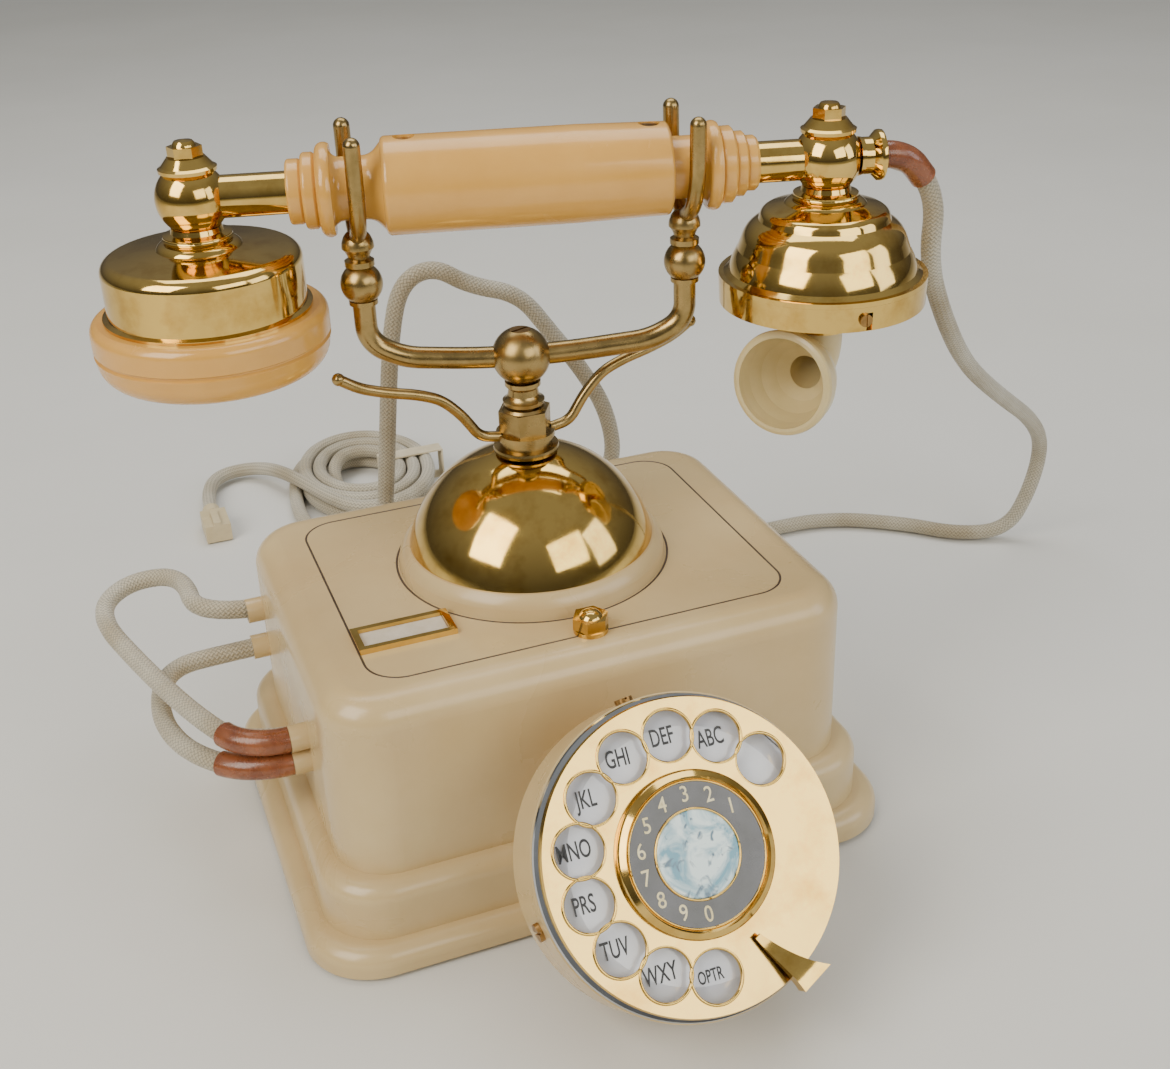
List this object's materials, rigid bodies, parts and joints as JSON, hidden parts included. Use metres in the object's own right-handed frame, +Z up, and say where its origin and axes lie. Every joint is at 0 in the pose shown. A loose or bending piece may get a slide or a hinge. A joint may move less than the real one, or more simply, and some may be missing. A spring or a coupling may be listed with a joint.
{
  "type": "rotary telephone",
  "caption": "Old French style desk telephone: ivory box with a brass bell dome, a cradle with a two-ended handset, a swivelling mouth horn and a finger dial held out in front.",
  "frame": {"origin": "centre of the base's standing face, on the surface it stands on", "axes": "+Z up, +Y to the back, +X to the right of a person facing the dial"},
  "size_m": [0.3978, 0.4499, 0.2289],
  "materials": {
    "ivory_enamel": "satin",
    "ivory_plastic": "gloss",
    "horn_plastic": "gloss",
    "polished_brass": "polished",
    "aged_brass": "aged",
    "chrome_plate": "polished",
    "letter_enamel": "gloss",
    "number_plate": "gloss",
    "marbled_disc": "gloss",
    "card_stock": "matte",
    "amber_sleeve": "gloss",
    "cord_braid": "woven",
    "felt_green": "felt",
    "zinc_steel": "satin",
    "dark_phenolic": "matte",
    "board": "matte",
    "coil_wire": "satin",
    "cream_plug": "gloss",
    "screw_brass": "aged"
  },
  "bodies": {
    "base": {"plinth": "ivory_enamel", "housing": "ivory_enamel", "bottom_plate": "zinc_steel", "felt_pad": "felt_green", "case_screws": "screw_brass", "bell_seat": "ivory_enamel", "dome": "polished_brass", "post_sleeve": "aged_brass", "post_collar": "aged_brass", "guard_arms": "aged_brass", "lock_nut": "aged_brass", "label_frame": "polished_brass", "label_card": "card_stock", "terminal_nut": "polished_brass", "dial_neck": "ivory_enamel", "dial_cup": "ivory_enamel", "dial_bezel": "chrome_plate", "letter_plate": "letter_enamel", "finger_stop": "polished_brass", "dial_frame": "zinc_steel", "hook_switch": "zinc_steel", "network_board": "board", "ringer_frame": "zinc_steel", "ringer_gongs": "polished_brass", "cord_glands": "ivory_enamel", "cord_sleeves": "amber_sleeve", "loop_cord_upper": "cord_braid", "loop_cord_lower": "cord_braid", "handset_cord": "cord_braid", "line_cord": "cord_braid", "hank_tie": "cream_plug", "line_plug": "cream_plug", "cradle_spring": "zinc_steel"},
    "dial_wheel": {"finger_wheel": "polished_brass", "hub_ring": "polished_brass", "number_disc": "number_plate", "centre_disc": "marbled_disc", "dial_shaft": "zinc_steel"},
    "governor": {"governor": "zinc_steel"},
    "pulse_cam": {"pulse_cam": "dark_phenolic"},
    "ringer_clapper": {"ringer_clapper": "zinc_steel"},
    "cradle": {"cradle_post": "aged_brass", "post_screw": "screw_brass", "cross_tube": "aged_brass", "forks": "aged_brass"},
    "handset": {"handset_tube": "polished_brass", "grip": "ivory_plastic", "handset_screws": "screw_brass", "joint_balls": "polished_brass", "finials": "polished_brass", "handset_collars": "polished_brass", "ear_cup": "polished_brass", "ear_cap": "ivory_plastic", "receiver_capsule": "dark_phenolic", "mic_bell": "polished_brass", "mic_band": "polished_brass", "microphone_capsule": "dark_phenolic", "cord_ferrule": "polished_brass", "handset_cord_sleeve": "amber_sleeve"},
    "horn": {"mouthpiece_horn": "horn_plastic"}
  },
  "joints": [
    {"name": "dial_turn", "type": "hinge", "parent": "base", "child": "dial_wheel", "pos_m": [0, -0.1235, 0.0593], "axis": [0, 0.7837, -0.6211], "range_deg": [0, 312], "stiffness_Nm_per_rad": 0.012, "springref_deg": -17.19},
    {"name": "governor_spin", "type": "hinge", "parent": "base", "child": "governor", "pos_m": [-0.00608, -0.13758, 0.04153], "axis": [0, -0.7837, 0.6211], "range_deg": [0, 1154]},
    {"name": "cam_spin", "type": "hinge", "parent": "base", "child": "pulse_cam", "pos_m": [-0.02033, -0.11621, 0.0685], "axis": [0, -0.7837, 0.6211], "range_deg": [0, 1154]},
    {"name": "clapper_swing", "type": "hinge", "parent": "base", "child": "ringer_clapper", "pos_m": [-0.028, 0.03, 0.0295], "axis": [0, 1, 0], "range_deg": [-4, 4]},
    {"name": "handset_lift", "type": "slide", "parent": "base", "child": "handset", "axis": [0, 0, 1], "range_m": [0, 0.06], "deforming": ["handset_cord"]},
    {"name": "cradle_rise", "type": "slide", "parent": "base", "child": "cradle", "axis": [0, 0, 1], "range_m": [0, 0.005], "deforming": ["cradle_spring"]},
    {"name": "horn_swivel", "type": "hinge", "parent": "handset", "child": "horn", "pos_m": [0.09121, -0.01974, 0.1625], "axis": [0, 0, 1], "range_deg": [-110, 110]}
  ],
  "couplings": [
    {"joint": "governor_spin", "follows": "dial_turn", "ratio": 3.6923},
    {"joint": "cam_spin", "follows": "dial_turn", "ratio": 3.6923},
    {"joint": "cradle_rise", "follows": "handset_lift", "ratio": 0.083333}
  ]
}
